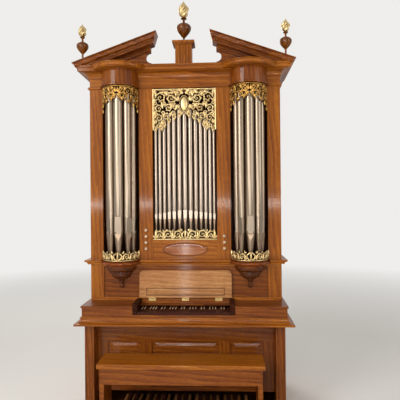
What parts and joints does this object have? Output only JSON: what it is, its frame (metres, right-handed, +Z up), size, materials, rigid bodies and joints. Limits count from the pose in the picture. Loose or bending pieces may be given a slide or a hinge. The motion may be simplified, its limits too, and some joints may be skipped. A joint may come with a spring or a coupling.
{
  "type": "house pipe organ",
  "caption": "Oak house pipe organ with two round towers, gilt openwork shades, broken pediment, key desk with lid, stop knobs, bench and pedalboard.",
  "frame": {"origin": "on the floor, below the middle of the part's box: case, cornices, bench and pedalboard together", "axes": "+X to the player's right, +Y away from the player into the case, +Z up"},
  "size_m": [1.884, 1.272, 3.508],
  "materials": {
    "oak": "varnished golden-brown oak",
    "dark_oak": "stained oak",
    "lid_oak": "satin pale oak",
    "walnut": "polished dark walnut",
    "gold_leaf": "gold leaf on carved wood",
    "pipe_metal": "polished tin-rich pipe metal",
    "ebony": "polished ebony",
    "bone": "polished bone",
    "brass": "polished brass"
  },
  "bodies": {
    "root": {"front_posts": "oak", "lower_sides": "oak", "lower_back": "dark_oak", "back_panels": "dark_oak", "case_floor": "dark_oak", "knee_frame": "oak", "knee_panels": "oak", "shelf_moulding": "oak", "key_desk": "oak", "key_cheeks": "ebony", "natural_keys": "ebony", "sharp_keys": "bone", "name_board": "dark_oak", "lid_hinges": "brass", "middle_frame": "oak", "middle_panel": "oak", "impost_moulding": "oak", "tower_corbels": "oak", "outer_stiles": "oak", "inner_stiles": "oak", "plinth_board": "oak", "oval_panel": "oak", "upper_sides": "oak", "upper_back": "dark_oak", "roof_board": "dark_oak", "centre_toe_board": "dark_oak", "tower_pipes_left": "pipe_metal", "tower_pipes_right": "pipe_metal", "centre_pipes": "pipe_metal", "centre_top_shade": "gold_leaf", "centre_bottom_shade": "gold_leaf", "tower_top_shades": "gold_leaf", "tower_bottom_shades": "gold_leaf", "frieze": "oak", "tower_drums": "oak", "cornice": "oak", "raking_cornices": "oak", "tympanum_boards": "oak", "pedestal": "oak", "finial_urns": "walnut", "finial_flames": "gold_leaf", "bench_seat": "oak", "bench_frame": "oak", "pedal_frame": "dark_oak", "pedal_naturals": "lid_oak", "pedal_sharps": "ebony"},
    "lid": {"desk_lid": "lid_oak", "lid_knuckles": "brass"},
    "ledge": {"music_ledge": "lid_oak"},
    "stop_1": {"stop_knob_1": "bone"},
    "stop_2": {"stop_knob_2": "bone"},
    "stop_3": {"stop_knob_3": "bone"},
    "stop_4": {"stop_knob_4": "bone"},
    "stop_5": {"stop_knob_5": "bone"},
    "stop_6": {"stop_knob_6": "bone"},
    "stop_7": {"stop_knob_7": "bone"}
  },
  "joints": [
    {"name": "lid_hinge", "type": "hinge", "parent": "root", "child": "lid", "pos_m": [0, 0.001, 0.932], "axis": [1, 0, 0], "range_deg": [0, 93]},
    {"name": "ledge_hinge", "type": "hinge", "parent": "lid", "child": "ledge", "pos_m": [0, 0.00667, 0.96375], "axis": [-1, 0, 0], "range_deg": [-90, 0]},
    {"name": "stop_1_slide", "type": "slide", "parent": "root", "child": "stop_1", "axis": [0, -1, 0], "range_m": [0, 0.028]},
    {"name": "stop_2_slide", "type": "slide", "parent": "root", "child": "stop_2", "axis": [0, -1, 0], "range_m": [0, 0.028]},
    {"name": "stop_3_slide", "type": "slide", "parent": "root", "child": "stop_3", "axis": [0, -1, 0], "range_m": [0, 0.028]},
    {"name": "stop_4_slide", "type": "slide", "parent": "root", "child": "stop_4", "axis": [0, -1, 0], "range_m": [0, 0.028]},
    {"name": "stop_5_slide", "type": "slide", "parent": "root", "child": "stop_5", "axis": [0, -1, 0], "range_m": [0, 0.028]},
    {"name": "stop_6_slide", "type": "slide", "parent": "root", "child": "stop_6", "axis": [0, -1, 0], "range_m": [0, 0.028]},
    {"name": "stop_7_slide", "type": "slide", "parent": "root", "child": "stop_7", "axis": [0, -1, 0], "range_m": [0, 0.028]}
  ]
}
